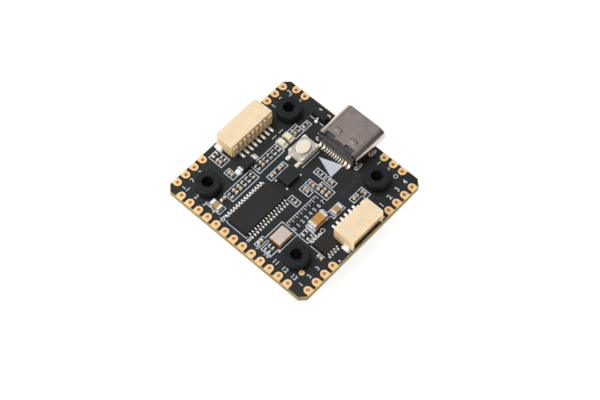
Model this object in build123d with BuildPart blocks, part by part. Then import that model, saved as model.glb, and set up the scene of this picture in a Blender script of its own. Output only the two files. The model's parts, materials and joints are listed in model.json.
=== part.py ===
from build123d import *
from math import asin, degrees
import os

os.makedirs("parts", exist_ok=True)

# Flight controller board with soft mounts, a USB type C port, two wire sockets and a boot button.
# Frame: the origin is the centre of the mounting pattern, on the plane the grommets stand on.
# +Y is the board's forward arrow, +X is its USB side, +Z is up. Millimetres.

# ---------------------------------------------------------------- driving dimensions
board_width = 30.0
board_length = 31.0
board_thickness = 1.2
board_corner = 1.05
board_shift = -0.5              # the board's centre lies behind the pattern's centre
mount_pitch = 20.0

grommet_radius = 2.3
grommet_bore = 1.05
grommet_neck = 1.9
grommet_body = 5.5              # length under the board
grommet_cap = 1.6               # height above the board
grommet_edge = 0.3
board_hole = grommet_neck + 0.05

board_bottom = grommet_body
board_top = board_bottom + board_thickness
copper = 0.05                   # plating thickness

pad_radius = 0.7
pad_hole = 0.3
pad_inset = 0.78                # hole centre to the board's edge
pad_pitch = 2.0

usb_y = -1.15                   # across the board, at the middle of the port
shell_back = 9.45
shell_width = 8.94
shell_height = 3.2
shell_length = 7.35
sheet = 0.3                     # shell thickness
shell_lift = 0.05
leg_length = 1.1
leg_stub = 0.2                  # length of leg that shows under the board
leg_y = (shell_width - sheet) / 2
leg_places_x = (9.95, 13.6)
leg_slot_length = 1.6
leg_slot_width = 0.7

way_pitch = 1.0                 # pitch of the wire sockets
socket_depth = 4.25
socket_height = 2.95
socket_corner = 0.35
socket_setback = 0.15           # the mouth lies behind the board's edge
motor_ways = 8
video_ways = 6

button_x = 5.84
button_y = 3.3
button_width = 4.2
button_depth = 3.3
plunger_gap = 0.07

lead_thickness = 0.15
mould_draft = 8                 # degrees
mark_depth = 0.06               # of the round mark on a chip
small_length = 1.0              # chip parts of 1.0 x 0.5
small_width = 0.5


# ---------------------------------------------------------------- places on the board
def level(height):
    """Horizontal plane at a height, centred on the board's outline."""
    return Plane(origin=(0, board_shift, height))


def top(x, y, turn=0, lift=0):
    """Plane on the upper face at a place measured from the board's centre."""
    return Plane(Location((x, y + board_shift, board_top + lift), (0, 0, turn)))


def under(x, y, turn=0, lift=0):
    """Plane on the lower face, facing down."""
    return Plane(Location((x, y + board_shift, board_bottom - lift), (180, 0, turn)))


def upright(seat, turn, along):
    """Upright plane across a chip, through a lead: its X runs outwards and its Y away from the board."""
    side = Plane(seat.location * Location((0, 0, 0), (0, 0, turn)))
    return Plane(side.from_local_coords((along, 0, 0)), x_dir=side.y_dir, z_dir=side.x_dir)


def centred_row(count, pitch):
    """Places of a centred row of equal steps."""
    return [(index - (count - 1) / 2) * pitch for index in range(count)]


def run(first, step, count):
    """Places of a row that starts at one place."""
    return [first + step * index for index in range(count)]


# ---------------------------------------------------------------- shared shapes
def plated_pads(spots):
    """D-shaped pads on both faces, joined by a plated hole, each open to the board's edge."""
    with BuildPart() as pads:
        for height in (board_top, board_bottom - copper):
            with BuildSketch(level(height)):
                with Locations(*spots):
                    Circle(pad_radius)
                    Rectangle(2 * pad_radius, pad_inset, align=(Align.CENTER, Align.MIN))
                    Circle(pad_hole, mode=Mode.SUBTRACT)
            extrude(amount=copper)
        with BuildSketch(level(board_bottom)):
            with Locations(*spots):
                Circle(pad_hole + copper)
                Circle(pad_hole, mode=Mode.SUBTRACT)
        extrude(amount=board_thickness)
    return pads


def moulded_body(seat, length, width, height, lift=0.1, dot=0.3):
    """Moulded chip body with drafted sides and a round mark near its first lead."""
    middle = lift + (height - lift) / 2
    with BuildPart() as body:
        with BuildSketch(seat.offset(middle)):
            Rectangle(length, width)
        extrude(amount=height - middle, taper=mould_draft)
        with BuildSketch(seat.offset(middle)):
            Rectangle(length, width)
        extrude(amount=lift - middle, taper=mould_draft)
        with BuildSketch(seat.offset(height)):
            with Locations((-length / 2 + 3 * dot, -width / 2 + 3 * dot)):
                Circle(dot)
        extrude(amount=-mark_depth, mode=Mode.SUBTRACT)
    return body


def gull_leads(planes, start, reach, width, shoulder):
    """Gull-wing leads, one on each upright plane, from the body's side down to a flat foot."""
    knee = start + (reach - start) * 0.3
    ankle = knee + (reach - start) * 0.15
    with BuildPart() as leads:
        with BuildSketch(*planes):
            with BuildLine():
                Polyline(
                    (start, shoulder),
                    (knee + lead_thickness, shoulder),
                    (ankle + lead_thickness, lead_thickness),
                    (reach, lead_thickness),
                    (reach, 0),
                    (ankle, 0),
                    (knee, shoulder - lead_thickness),
                    (start, shoulder - lead_thickness),
                    close=True,
                )
            make_face()
        extrude(amount=width / 2, both=True)
    return leads


def block(seats, length, width, height, lift=0.0):
    """The same plain block on every seat."""
    with BuildPart() as blocks:
        with BuildSketch(*[seat.offset(lift) for seat in seats]):
            Rectangle(length, width)
        extrude(amount=height - lift)
    return blocks


def soft_block(seats, length, width, height, edge, lift=0.0):
    """The same block on every seat, with all its edges rounded."""
    with BuildPart() as blocks:
        with BuildSketch(*[seat.offset(lift) for seat in seats]):
            Rectangle(length, width)
        extrude(amount=height - lift)
        fillet(blocks.edges().filter_by(GeomType.LINE), edge)
    return blocks


def end_caps(seats, length, width, height, cap):
    """Metal end caps at both ends of chip parts, proud of the body by a little on every side."""
    with BuildPart() as caps:
        with BuildSketch(*seats):
            with GridLocations(length - cap, 0, 2, 1):
                Rectangle(cap, width)
        extrude(amount=height)
    return caps


crystal_length = 3.2
crystal_width = 2.5
crystal_height = 0.75
tray_height = 0.5
lid_step = 0.2                  # the lid is this much shorter and narrower than its tray
lid_edge = 0.08


def crystal(seat, name):
    """Crystal in a ceramic tray with a seamed metal lid."""
    tray = block([seat], crystal_length, crystal_width, tray_height)
    lid_length = crystal_length - lid_step
    lid_width = crystal_width - lid_step
    lid = soft_block([seat], lid_length, lid_width, crystal_height, lid_edge, lift=tray_height)
    tray.part.label = f"{name}_base"
    lid.part.label = f"{name}_lid"
    export_step(tray.part, f"parts/{name}_base.step")
    export_step(lid.part, f"parts/{name}_lid.step")


# ---------------------------------------------------------------- places of the repeated parts
hole_spots = [
    Location((x, y - board_shift))
    for x in (-mount_pitch / 2, mount_pitch / 2)
    for y in (-mount_pitch / 2, mount_pitch / 2)
]

front_y = board_length / 2 - pad_inset
side_x = board_width / 2 - pad_inset
front_spots = [Location((x, front_y)) for x in run(-12.9, pad_pitch, 4) + run(9.13, pad_pitch, 3)]
rear_spots = [Location((x, -front_y), 180) for x in run(-12.94, pad_pitch, 4) + run(7.04, pad_pitch, 4)]
left_spots = [Location((-side_x, y), 90) for y in run(12.5, -pad_pitch, 13)]
right_spots = [
    Location((side_x, y), -90)
    for y in run(12.59, -pad_pitch, 2) + run(-7.57, -pad_pitch, 3)
]
leg_spots = [Location((x, usb_y + side * leg_y)) for x in leg_places_x for side in (-1, 1)]

# Long axis along Y is a turn of 90 degrees, along X is no turn.
left_row = run(-8.72, 1.03, 6)
middle_row = run(-1.79, 1.005, 6)
resistor_seats = [top(left_row[index], 6.38, 90) for index in (0, 3, 4, 5)]
resistor_seats += [top(middle_row[index], 6.8, 90) for index in (0, 2, 3, 4, 5)]
resistor_seats += [top(x, -5.12, 90) for x in (-12.16, -11.23)]
resistor_seats += [top(-5.67, y) for y in (-7.47, -8.56)]
resistor_seats += [
    top(8.4, 6.96, 90),
    top(9.9, 6.5),
    top(-4.88, 13.77),
    top(-4.43, 12.26, 90),
    top(-2.37, -2.07, 90),
    top(4.53, -1.67, 90),
]
capacitor_seats = [top(left_row[index], 6.38, 90) for index in (1, 2)]
capacitor_seats += [top(x, 3.93) for x in (-0.99, 0.95)]
capacitor_seats += [top(2.44, y) for y in (-3.46, -4.38, -5.31)]
capacitor_seats += [
    top(middle_row[1], 6.8, 90),
    top(7.44, 6.97, 90),
    top(-5.32, 12.36, 90),
    top(-5.76, 9.29, 90),
    top(-10.15, 6.84),
    top(0.45, -2.19, 90),
    top(4.53, -4.08, 90),
    top(-11.78, -3.14),
    top(5.17, -9.13),
    top(6.71, -9.55, 90),
    top(-7.28, -12.26, 90),
]
decoupling_seats = [under(x, y, 90) for x in (-7.0, 7.0) for y in (-3.6, 3.6)]
decoupling_seats += [under(x, y) for x in (-3.6, 3.6) for y in (-7.0, 7.0)]
bead_seats = [top(1.94, -2.11, 90)]
filter_seats = [top(-11.83, 6.75, 90), top(1.05, -8.44)]
bulk_seats = [top(-2.56, -7.55)]
light_seats = [top(x, 7.03, 90) for x in (4.54, 6.14)]

# ---------------------------------------------------------------- the board and its plating
with BuildPart() as circuit_board:
    with BuildSketch(level(board_bottom)) as outline:
        Rectangle(board_width, board_length)
        chamfer(outline.vertices(), board_corner)
        with Locations(*hole_spots):
            Circle(board_hole, mode=Mode.SUBTRACT)
        with Locations(*front_spots, *rear_spots, *left_spots, *right_spots):
            Circle(pad_hole + copper, mode=Mode.SUBTRACT)
        with Locations(*leg_spots):
            SlotOverall(leg_slot_length, leg_slot_width, mode=Mode.SUBTRACT)
    extrude(amount=board_thickness)
circuit_board.part.label = "circuit_board"
export_step(circuit_board.part, "parts/circuit_board.step")

for name, spots in (
    ("front_pads", front_spots),
    ("rear_pads", rear_spots),
    ("side_pads", left_spots + right_spots),
):
    pad_group = plated_pads(spots)
    pad_group.part.label = name
    export_step(pad_group.part, f"parts/{name}.step")

test_pad_radius = 0.5
with BuildPart() as test_pad:
    with BuildSketch(top(-11.3, -11.91)):
        Circle(test_pad_radius)
    extrude(amount=copper)
test_pad.part.label = "test_pad"
export_step(test_pad.part, "parts/test_pad.step")

# ---------------------------------------------------------------- grommets
for end, y in (("front", mount_pitch / 2), ("rear", -mount_pitch / 2)):
    for side, x in (("left", -mount_pitch / 2), ("right", mount_pitch / 2)):
        with BuildPart() as grommet:
            with BuildSketch(Plane(origin=(x, y, 0))):
                Circle(grommet_radius)
            extrude(amount=grommet_body)
            with BuildSketch(Plane(origin=(x, y, board_top))):
                Circle(grommet_radius)
            extrude(amount=grommet_cap)
            fillet(grommet.edges().filter_by(GeomType.CIRCLE), grommet_edge)
            with BuildSketch(Plane(origin=(x, y, board_bottom))):
                Circle(grommet_neck)
            extrude(amount=board_thickness)
            with BuildSketch(Plane(origin=(x, y, 0))):
                Circle(grommet_bore)
            extrude(amount=board_top + grommet_cap, mode=Mode.SUBTRACT)
        grommet.part.label = f"grommet_{end}_{side}"
        export_step(grommet.part, f"parts/grommet_{end}_{side}.step")

# ---------------------------------------------------------------- USB type C port
usb_mid = board_top + shell_lift + shell_height / 2
usb_back = Plane(origin=(shell_back, usb_y + board_shift, usb_mid), x_dir=(0, 1, 0), z_dir=(1, 0, 0))
usb_roof = top(shell_back, usb_y, lift=shell_lift + shell_height)
notch_length = 0.85
arc_radius = 4.0                # hollow in the roof's back edge, between the notches
arc_depth = 0.5
notch_width = 1.9
notch_y = 2.05
roof_middle = 2 * notch_y - notch_width
roof_cut = 1.5 * sheet          # a cut that goes right through the roof
latch_x = 2.05
latch_y = 1.7
latch_length = 1.3
latch_width = 0.7
latch_gap = 0.15
latch_rise = 0.08
dimple_x = 4.9
dimple_length = 1.1
dimple_width = 0.4
dimple_turn = 25
dimple_rise = 0.05
mouth_edge = 0.09

with BuildPart() as usb_shell:
    with BuildSketch(usb_back):
        SlotOverall(shell_width, shell_height)
    extrude(amount=shell_length)
    for leg_x in leg_places_x:
        with BuildSketch(level(board_bottom - leg_stub)):
            with Locations((leg_x, usb_y + leg_y), (leg_x, usb_y - leg_y)):
                Rectangle(leg_length, sheet)
        extrude(amount=usb_mid - board_bottom + leg_stub)
    with BuildSketch(usb_back.offset(-1)):
        SlotOverall(shell_width - 2 * sheet, shell_height - 2 * sheet)
    extrude(amount=shell_length + 2, mode=Mode.SUBTRACT)
    # Notches at the back edge of the roof.
    with BuildSketch(usb_roof):
        with Locations((0, notch_y), (0, -notch_y)):
            Rectangle(notch_length, notch_width, align=(Align.MIN, Align.CENTER))
    extrude(amount=-roof_cut, mode=Mode.SUBTRACT)
    with BuildSketch(usb_roof):
        with Locations((arc_depth - arc_radius, 0)):
            Circle(arc_radius)
        Rectangle(notch_length, roof_middle, align=(Align.MIN, Align.CENTER), mode=Mode.INTERSECT)
    extrude(amount=-roof_cut, mode=Mode.SUBTRACT)
    # Lanced latch tabs: a U-shaped cut round a tongue that stands a little proud.
    with BuildSketch(usb_roof):
        with Locations((latch_x, latch_y), (latch_x, -latch_y)):
            SlotOverall(latch_length + 2 * latch_gap, latch_width + 2 * latch_gap, rotation=90)
            SlotOverall(latch_length, latch_width, rotation=90, mode=Mode.SUBTRACT)
            with Locations((-latch_width / 2, 0)):
                Rectangle(latch_width, 2 * latch_length, mode=Mode.SUBTRACT)
    extrude(amount=-roof_cut, mode=Mode.SUBTRACT)
    with BuildSketch(usb_roof):
        with Locations((latch_x, latch_y), (latch_x, -latch_y)):
            SlotOverall(latch_length, latch_width, rotation=90)
    extrude(amount=latch_rise)
    # Pressed dimple near the mouth.
    with BuildSketch(usb_roof):
        with Locations(Location((dimple_x, 0), dimple_turn)):
            SlotOverall(dimple_length, dimple_width)
    extrude(amount=dimple_rise)
    chamfer(usb_shell.edges().group_by(Axis.X)[-1], mouth_edge)
usb_shell.part.label = "usb_shell"
export_step(usb_shell.part, "parts/usb_shell.step")

insulator_back = 0.3            # its back face lies this far inside the shell
insulator_play = 0.1            # overall, inside the shell
insulator_edge = 0.25
insulator_depth = 1.8
insulator_sill = 0.45           # lower part that reaches out behind the shell
sill_width = 7.6
sill_neck = 6.2
sill_lift = 0.4
sill_height = 1.9
tongue_width = 6.7
tongue_thickness = 0.7
tongue_reach = 6.5
strip = 0.04                    # thickness of a contact strip
strip_start = 3.9
strip_length = 3.4
strip_width = 0.25
usb_contact_pitch = 0.5

with BuildPart() as usb_insulator:
    with BuildSketch(usb_back.offset(insulator_back)):
        SlotOverall(shell_width - 2 * sheet - insulator_play, shell_height - 2 * sheet - insulator_play)
    extrude(amount=insulator_depth)
    chamfer(usb_insulator.edges().group_by(Axis.X)[0], insulator_edge)
    with BuildSketch(top(shell_back - insulator_sill, usb_y, lift=sill_lift)):
        Rectangle(insulator_sill, sill_width, align=(Align.MIN, Align.CENTER))
        Rectangle(insulator_sill + 1, sill_neck, align=(Align.MIN, Align.CENTER))
    extrude(amount=sill_height)
    with BuildSketch(usb_back.offset(insulator_back + insulator_depth)):
        Rectangle(tongue_width, tongue_thickness)
    extrude(amount=tongue_reach - insulator_depth)
usb_insulator.part.label = "usb_insulator"
export_step(usb_insulator.part, "parts/usb_insulator.step")

# Contact strips on both faces of the tongue, and tails that drop to the board at the back.
tail_toe = 8.2
tail_heel = shell_back - insulator_sill
tail_rise = 0.8
wide_tail = 0.5
slim_tail = 0.26
wide_tails = [side * place for side in (-1, 1) for place in (2.4, 3.2)]
slim_tails = centred_row(8, usb_contact_pitch)
with BuildPart() as usb_contacts:
    for side in (-1, 1):
        strip_level = usb_mid + side * (tongue_thickness + strip) / 2
        with BuildSketch(top(shell_back + strip_start, usb_y, lift=strip_level - strip / 2 - board_top)):
            with Locations(*[(0, y) for y in centred_row(12, usb_contact_pitch)]):
                Rectangle(strip_length, strip_width)
        extrude(amount=strip)
    for width, places in ((wide_tail, wide_tails), (slim_tail, slim_tails)):
        with BuildSketch(top(0, usb_y)):
            with Locations(*[(tail_toe, y) for y in places]):
                Rectangle(tail_heel - tail_toe, width, align=(Align.MIN, Align.CENTER))
        extrude(amount=lead_thickness)
        with BuildSketch(top(0, usb_y)):
            with Locations(*[(tail_heel, y) for y in places]):
                Rectangle(lead_thickness, width, align=(Align.MAX, Align.CENTER))
        extrude(amount=tail_rise)
usb_contacts.part.label = "usb_contacts"
export_step(usb_contacts.part, "parts/usb_contacts.step")

with BuildPart() as usb_anchor_pads:
    for height in (board_top, board_bottom - copper):
        with BuildSketch(level(height)):
            with Locations(*leg_spots):
                SlotOverall(leg_slot_length + 3 * copper, leg_slot_width + 3 * copper)
                SlotOverall(leg_slot_length - 2 * copper, leg_slot_width - 2 * copper, mode=Mode.SUBTRACT)
        extrude(amount=copper)
    with BuildSketch(level(board_bottom)):
        with Locations(*leg_spots):
            SlotOverall(leg_slot_length, leg_slot_width)
            SlotOverall(leg_slot_length - 2 * copper, leg_slot_width - 2 * copper, mode=Mode.SUBTRACT)
    extrude(amount=board_thickness)
usb_anchor_pads.part.label = "usb_anchor_pads"
export_step(usb_anchor_pads.part, "parts/usb_anchor_pads.step")

# ---------------------------------------------------------------- wire sockets
cavity_floor = 0.3
cavity_height = 2.3
cavity_depth = 3.0
cavity_margin = 0.55            # side wall of the mouth
step_depth = 0.4                # lower ledge at the back, slotted for the contacts
step_height = 2.45
lip_recess = 0.45               # the floor of the mouth stops short of its roof
slot_width = 0.5
passage_width = 0.36
blade_level = 1.3
blade_tip = 3.5
riser_back = 0.2
riser_front = riser_back + lead_thickness
end_wall = 1.0                  # from the last contact to the housing's end
foot_length = 1.3
contact_width = 0.3
tab_width = 0.55
tab_length = 1.6
tab_start = 2.4
tab_plate = socket_depth - socket_corner - tab_start
tab_height = 1.0


def socket_housing(seat, ways):
    """Side-entry housing: the seat is at the middle of its back edge, and its Y runs to the mouth."""
    width = ways * way_pitch + 2 * end_wall
    places = [(x, 0) for x in centred_row(ways, way_pitch)]
    with BuildPart() as housing:
        with BuildSketch(seat) as footprint:
            Rectangle(width, socket_depth, align=(Align.CENTER, Align.MIN))
            chamfer(footprint.vertices(), socket_corner)
        extrude(amount=socket_height)
        with BuildSketch(seat.offset(step_height)):
            Rectangle(width, step_depth, align=(Align.CENTER, Align.MIN))
        extrude(amount=socket_height, mode=Mode.SUBTRACT)
        with BuildSketch(seat.offset(cavity_floor)):
            with Locations((0, socket_depth)):
                Rectangle(width - 2 * cavity_margin, cavity_depth, align=(Align.CENTER, Align.MAX))
        extrude(amount=cavity_height, mode=Mode.SUBTRACT)
        with BuildSketch(seat):
            with Locations((0, socket_depth)):
                Rectangle(width - 2 * cavity_margin, lip_recess, align=(Align.CENTER, Align.MAX))
        extrude(amount=cavity_floor, mode=Mode.SUBTRACT)
        with BuildSketch(seat):
            with Locations(*places):
                Rectangle(slot_width, step_depth, align=(Align.CENTER, Align.MIN))
        extrude(amount=step_height, mode=Mode.SUBTRACT)
        with BuildSketch(seat):
            with Locations(*places):
                Rectangle(passage_width, socket_depth / 2, align=(Align.CENTER, Align.MIN))
        extrude(amount=blade_level + 0.05, mode=Mode.SUBTRACT)
    return housing


def socket_contacts(seat, ways):
    """Contacts with a foot on the board, a riser in the slot and a blade in the mouth."""
    planes = [upright(seat, 0, x) for x in centred_row(ways, way_pitch)]
    with BuildPart() as contacts:
        with BuildSketch(*planes):
            with BuildLine():
                Polyline(
                    (-foot_length, 0),
                    (riser_front, 0),
                    (riser_front, blade_level - lead_thickness),
                    (blade_tip, blade_level - lead_thickness),
                    (blade_tip, blade_level),
                    (riser_back, blade_level),
                    (riser_back, lead_thickness),
                    (-foot_length, lead_thickness),
                    close=True,
                )
            make_face()
        extrude(amount=contact_width / 2, both=True)
    return contacts


def socket_tabs(seat, ways):
    """Solder tabs at both ends of a housing: a foot and a plate against the end wall."""
    wall = ways * way_pitch / 2 + end_wall
    with BuildPart() as tabs:
        for side, align in ((1, Align.MIN), (-1, Align.MAX)):
            with BuildSketch(seat):
                with Locations((side * wall, tab_start)):
                    Rectangle(tab_width, tab_length, align=(align, Align.MIN))
            extrude(amount=lead_thickness)
            with BuildSketch(seat):
                with Locations((side * wall, tab_start)):
                    Rectangle(lead_thickness, tab_plate, align=(align, Align.MIN))
            extrude(amount=tab_height)
    return tabs


socket_y = board_length / 2 - socket_setback - socket_depth
motor_seat = top(1.83, socket_y)
video_seat = top(1.05, -socket_y, 180)

motor_socket_housing = socket_housing(motor_seat, motor_ways)
motor_socket_housing.part.label = "motor_socket_housing"
export_step(motor_socket_housing.part, "parts/motor_socket_housing.step")

motor_socket_contacts = socket_contacts(motor_seat, motor_ways)
motor_socket_contacts.part.label = "motor_socket_contacts"
export_step(motor_socket_contacts.part, "parts/motor_socket_contacts.step")

motor_socket_tabs = socket_tabs(motor_seat, motor_ways)
motor_socket_tabs.part.label = "motor_socket_tabs"
export_step(motor_socket_tabs.part, "parts/motor_socket_tabs.step")

video_socket_housing = socket_housing(video_seat, video_ways)
video_socket_housing.part.label = "video_socket_housing"
export_step(video_socket_housing.part, "parts/video_socket_housing.step")

video_socket_contacts = socket_contacts(video_seat, video_ways)
video_socket_contacts.part.label = "video_socket_contacts"
export_step(video_socket_contacts.part, "parts/video_socket_contacts.step")

video_socket_tabs = socket_tabs(video_seat, video_ways)
video_socket_tabs.part.label = "video_socket_tabs"
export_step(video_socket_tabs.part, "parts/video_socket_tabs.step")

# ---------------------------------------------------------------- boot button
button_seat = top(button_x, button_y)
base_height = 1.1
cover_top = 1.3
plunger_top = 1.8
well_floor = 0.35
post = 0.75                     # leg of each corner post's triangle
plunger_rx = 1.5
plunger_ry = 1.18
flange_margin = 0.16
flange_top = 1.02
flange_bottom = 0.85
dome_radius = 1.2
dome_rise = 0.4
dome_sheet = 0.08
base_corner = 0.15
well_margin_x = 0.35
well_margin_y = 0.25
well_corner = 0.4
cover_play = 0.05               # between the cover and the base's corner posts
crown_edge = 0.15
terminal_y = 1.05
terminal_width = 0.6
terminal_height = 0.2
left_terminal = 0.95
right_terminal = 0.35

with BuildPart() as button_base:
    with BuildSketch(button_seat):
        RectangleRounded(button_width, button_depth, base_corner)
    extrude(amount=base_height)
    with BuildSketch(button_seat.offset(base_height)) as posts:
        RectangleRounded(button_width, button_depth, base_corner)
        with BuildSketch(mode=Mode.SUBTRACT) as lid_shape:
            Rectangle(button_width, button_depth)
            chamfer(lid_shape.vertices(), post)
    extrude(amount=cover_top - base_height + cover_play)
    with BuildSketch(button_seat.offset(well_floor)):
        RectangleRounded(button_width - 2 * well_margin_x, button_depth - 2 * well_margin_y, well_corner)
    extrude(amount=base_height - well_floor, mode=Mode.SUBTRACT)
button_base.part.label = "button_base"
export_step(button_base.part, "parts/button_base.step")

with BuildPart() as button_cover:
    with BuildSketch(button_seat.offset(base_height)) as cover_shape:
        Rectangle(button_width - 2 * cover_play, button_depth - 2 * cover_play)
        chamfer(cover_shape.vertices(), post - cover_play)
        Ellipse(plunger_rx + plunger_gap, plunger_ry + plunger_gap, mode=Mode.SUBTRACT)
    extrude(amount=cover_top - base_height)
button_cover.part.label = "button_cover"
export_step(button_cover.part, "parts/button_cover.step")

with BuildPart() as button_plunger:
    with BuildSketch(button_seat.offset(flange_bottom)):
        Ellipse(plunger_rx + flange_margin, plunger_ry + flange_margin)
    extrude(amount=flange_top - flange_bottom)
    with BuildSketch(button_seat.offset(flange_top)):
        Ellipse(plunger_rx, plunger_ry)
    extrude(amount=plunger_top - flange_top)
    fillet(button_plunger.faces().sort_by(Axis.Z)[-1].edges(), crown_edge)
button_plunger.part.label = "button_plunger"
export_step(button_plunger.part, "parts/button_plunger.step")

# Snap dome: a thin cap of a sphere whose rim stands on the floor of the well.
dome_curve = (dome_radius**2 + dome_rise**2) / (2 * dome_rise)
dome_arc = degrees(asin(dome_radius / dome_curve))
with BuildPart() as button_dome:
    with BuildSketch(upright(button_seat, 0, 0)):
        with BuildLine():
            inner = CenterArc((0, well_floor + dome_rise - dome_curve), dome_curve, 90 - dome_arc, dome_arc)
            outer = CenterArc(
                (0, well_floor + dome_rise - dome_curve), dome_curve + dome_sheet, 90 - dome_arc, dome_arc
            )
            Line(inner @ 0, outer @ 0)
            Line(inner @ 1, outer @ 1)
        make_face()
    revolve(axis=Axis((button_x, button_y + board_shift, 0), (0, 0, 1)))
button_dome.part.label = "button_dome"
export_step(button_dome.part, "parts/button_dome.step")

with BuildPart() as button_terminals:
    with BuildSketch(button_seat):
        for side, reach, align in ((-1, left_terminal, Align.MAX), (1, right_terminal, Align.MIN)):
            with Locations(*[(side * button_width / 2, y) for y in (-terminal_y, terminal_y)]):
                Rectangle(reach, terminal_width, align=(align, Align.CENTER))
    extrude(amount=terminal_height)
button_terminals.part.label = "button_terminals"
export_step(button_terminals.part, "parts/button_terminals.step")

# ---------------------------------------------------------------- chips on the upper face
display_seat = top(-7.77, 1.39)
display_chip_body = moulded_body(display_seat, 9.7, 4.4, 1.1)
display_chip_body.part.label = "display_chip_body"
export_step(display_chip_body.part, "parts/display_chip_body.step")

display_planes = [upright(display_seat, turn, x) for turn in (0, 180) for x in centred_row(14, 0.65)]
display_chip_leads = gull_leads(display_planes, 2.2, 3.2, 0.24, 0.675)
display_chip_leads.part.label = "display_chip_leads"
export_step(display_chip_leads.part, "parts/display_chip_leads.step")

driver_seat = top(-5.07, -11.35)
driver_chip_body = moulded_body(driver_seat, 3.0, 3.0, 0.95, dot=0.2)
driver_chip_body.part.label = "driver_chip_body"
export_step(driver_chip_body.part, "parts/driver_chip_body.step")

driver_planes = [upright(driver_seat, turn, x) for turn in (0, 180) for x in centred_row(4, 0.65)]
driver_chip_leads = gull_leads(driver_planes, 1.5, 2.2, 0.3, 0.6)
driver_chip_leads.part.label = "driver_chip_leads"
export_step(driver_chip_leads.part, "parts/driver_chip_leads.step")

motion_sensor = soft_block([top(0.3, 1.67)], 3.0, 2.5, 0.85, 0.05)
motion_sensor.part.label = "motion_sensor"
export_step(motion_sensor.part, "parts/motion_sensor.step")

crystal(top(-8.73, -5.05), "display_crystal")

diode_seat = top(-2.53, 8.57)
diode_body = moulded_body(diode_seat, 2.6, 1.8, 1.1, dot=0.1)
diode_body.part.label = "diode_body"
export_step(diode_body.part, "parts/diode_body.step")

diode_tabs = gull_leads([upright(diode_seat, turn, 0) for turn in (90, -90)], 1.3, 2.35, 1.0, 0.6)
diode_tabs.part.label = "diode_tabs"
export_step(diode_tabs.part, "parts/diode_tabs.step")

transistor_seat = top(12.91, 5.73)
transistor_body = moulded_body(transistor_seat, 1.3, 2.9, 1.05, dot=0.08)
transistor_body.part.label = "transistor_body"
export_step(transistor_body.part, "parts/transistor_body.step")

transistor_planes = [upright(transistor_seat, -90, y) for y in (-0.95, 0.95)]
transistor_planes += [upright(transistor_seat, 90, 0)]
transistor_leads = gull_leads(transistor_planes, 0.65, 1.25, 0.4, 0.6)
transistor_leads.part.label = "transistor_leads"
export_step(transistor_leads.part, "parts/transistor_leads.step")

# ---------------------------------------------------------------- small chip parts
small_cap = 0.22                # length of an end cap
resistor_height = 0.35
capacitor_height = 0.5
inner_length = small_length - 2 * small_cap
inner_width = small_width - 0.04
coat_width = inner_width - 0.02
coat_start = resistor_height - 0.06
coat_top = resistor_height + 0.01
capacitor_inner_height = capacitor_height - 0.02

resistor_bodies = block(resistor_seats, inner_length, inner_width, coat_start)
resistor_bodies.part.label = "resistor_bodies"
export_step(resistor_bodies.part, "parts/resistor_bodies.step")

resistor_coats = block(resistor_seats, inner_length, coat_width, coat_top, lift=coat_start)
resistor_coats.part.label = "resistor_coats"
export_step(resistor_coats.part, "parts/resistor_coats.step")

resistor_ends = end_caps(resistor_seats, small_length, small_width, resistor_height, small_cap)
resistor_ends.part.label = "resistor_ends"
export_step(resistor_ends.part, "parts/resistor_ends.step")

all_capacitors = capacitor_seats + decoupling_seats
capacitor_bodies = block(all_capacitors, inner_length, inner_width, capacitor_inner_height)
capacitor_bodies.part.label = "capacitor_bodies"
export_step(capacitor_bodies.part, "parts/capacitor_bodies.step")

capped_seats = all_capacitors + bead_seats
capacitor_ends = end_caps(capped_seats, small_length, small_width, capacitor_height, small_cap)
capacitor_ends.part.label = "capacitor_ends"
export_step(capacitor_ends.part, "parts/capacitor_ends.step")

ferrite_bead = block(bead_seats, inner_length, inner_width, capacitor_inner_height)
ferrite_bead.part.label = "ferrite_bead"
export_step(ferrite_bead.part, "parts/ferrite_bead.step")

filter_length = 1.9
filter_width = 1.1
filter_height = 0.85
filter_cap = 0.4
cap_proud = 0.02                # the end caps stand this proud of the body on each side
filter_inner = filter_length - 2 * filter_cap
filter_capacitor_bodies = block(
    filter_seats, filter_inner, filter_width - 2 * cap_proud, filter_height - cap_proud
)
filter_capacitor_bodies.part.label = "filter_capacitor_bodies"
export_step(filter_capacitor_bodies.part, "parts/filter_capacitor_bodies.step")

filter_capacitor_ends = end_caps(filter_seats, filter_length, filter_width, filter_height, filter_cap)
filter_capacitor_ends.part.label = "filter_capacitor_ends"
export_step(filter_capacitor_ends.part, "parts/filter_capacitor_ends.step")

bulk_length = 3.2
bulk_width = 1.6
bulk_height = 1.25
bulk_cap = 0.5
bulk_inner = bulk_length - 2 * bulk_cap
bulk_capacitor_body = block(bulk_seats, bulk_inner, bulk_width - 2 * cap_proud, bulk_height - cap_proud)
bulk_capacitor_body.part.label = "bulk_capacitor_body"
export_step(bulk_capacitor_body.part, "parts/bulk_capacitor_body.step")

bulk_capacitor_ends = end_caps(bulk_seats, bulk_length, bulk_width, bulk_height, bulk_cap)
bulk_capacitor_ends.part.label = "bulk_capacitor_ends"
export_step(bulk_capacitor_ends.part, "parts/bulk_capacitor_ends.step")

light_length = 2.0
light_width = 1.1
light_cap = 0.35
light_base = 0.3
light_top = 0.75
light_edge = 0.12
light_inner = light_length - 2 * light_cap
lens_length = light_inner - 0.05
lens_width = light_width - 0.1
light_bases = block(light_seats, light_inner, light_width - 2 * cap_proud, light_base)
light_bases.part.label = "light_bases"
export_step(light_bases.part, "parts/light_bases.step")

light_lenses = soft_block(light_seats, lens_length, lens_width, light_top, light_edge, lift=light_base)
light_lenses.part.label = "light_lenses"
export_step(light_lenses.part, "parts/light_lenses.step")

light_ends = end_caps(light_seats, light_length, light_width, light_base + 0.05, light_cap)
light_ends.part.label = "light_ends"
export_step(light_ends.part, "parts/light_ends.step")

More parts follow.
